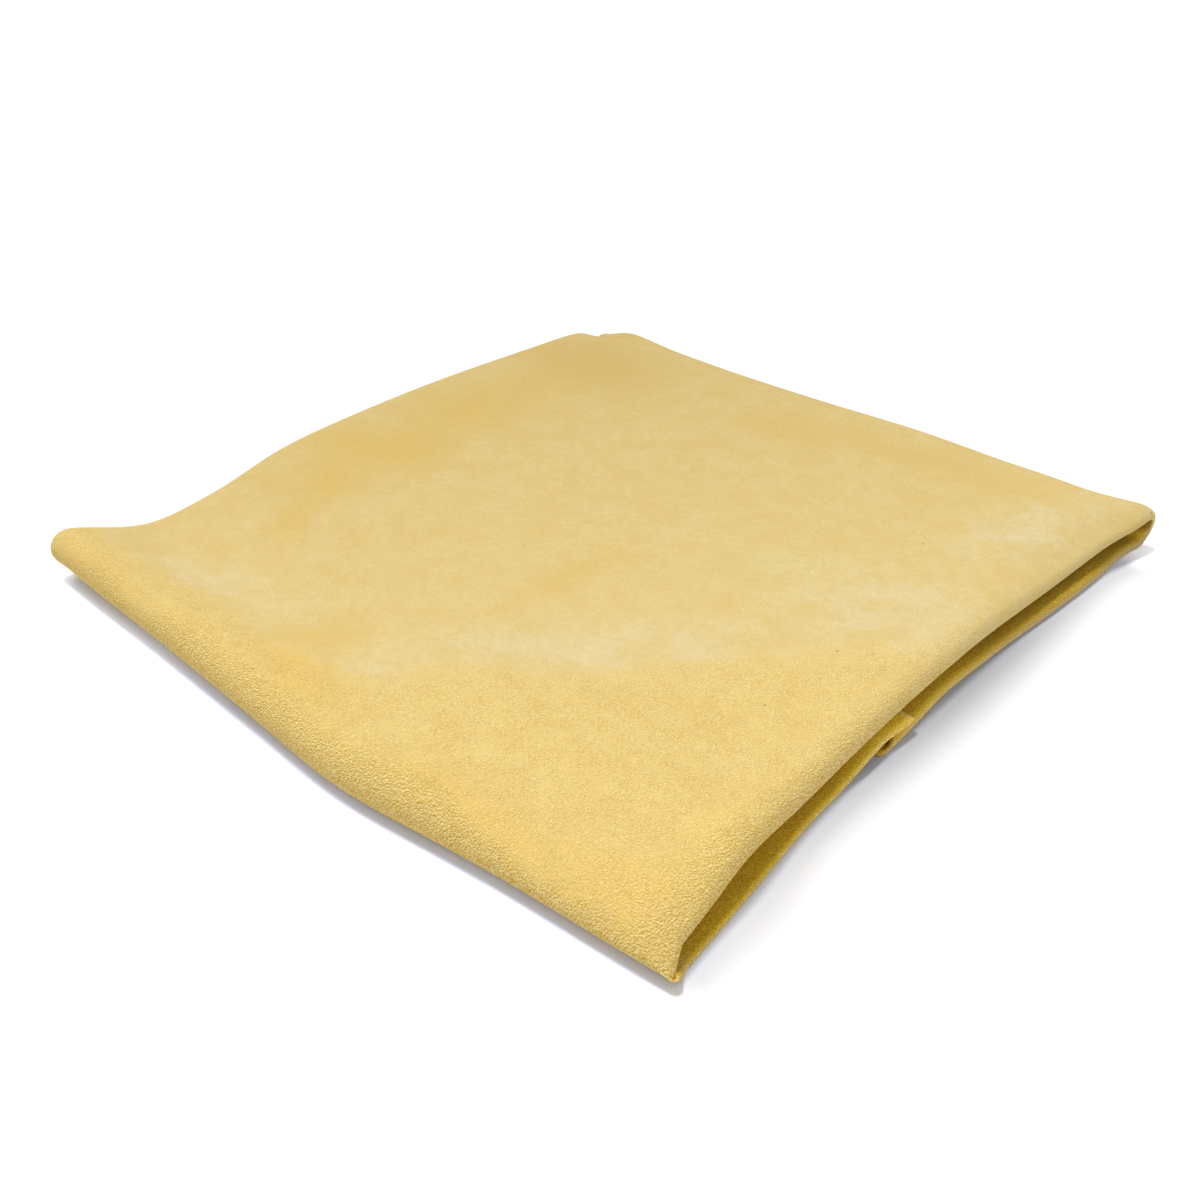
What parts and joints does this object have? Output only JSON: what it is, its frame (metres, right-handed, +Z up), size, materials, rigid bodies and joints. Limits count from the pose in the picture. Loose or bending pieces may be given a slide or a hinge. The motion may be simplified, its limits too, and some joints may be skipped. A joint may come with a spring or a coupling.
{
  "type": "chamois cloth",
  "caption": "Soft suede-like cloth for drying and polishing, folded into a flat, nearly square block with rolled edges and one open side. It rests on its flat underside.",
  "frame": {"origin": "middle of the folded block's box, on the surface it lies on", "axes": "+X from the left fold towards the open right side, +Y from the front fold to the back one, +Z up"},
  "size_m": [0.1998, 0.216, 0.013],
  "materials": {
    "suede": "matt napped suede, uneven yellow"
  },
  "bodies": {
    "root": {"chamois_sheet": "suede"}
  },
  "joints": []
}
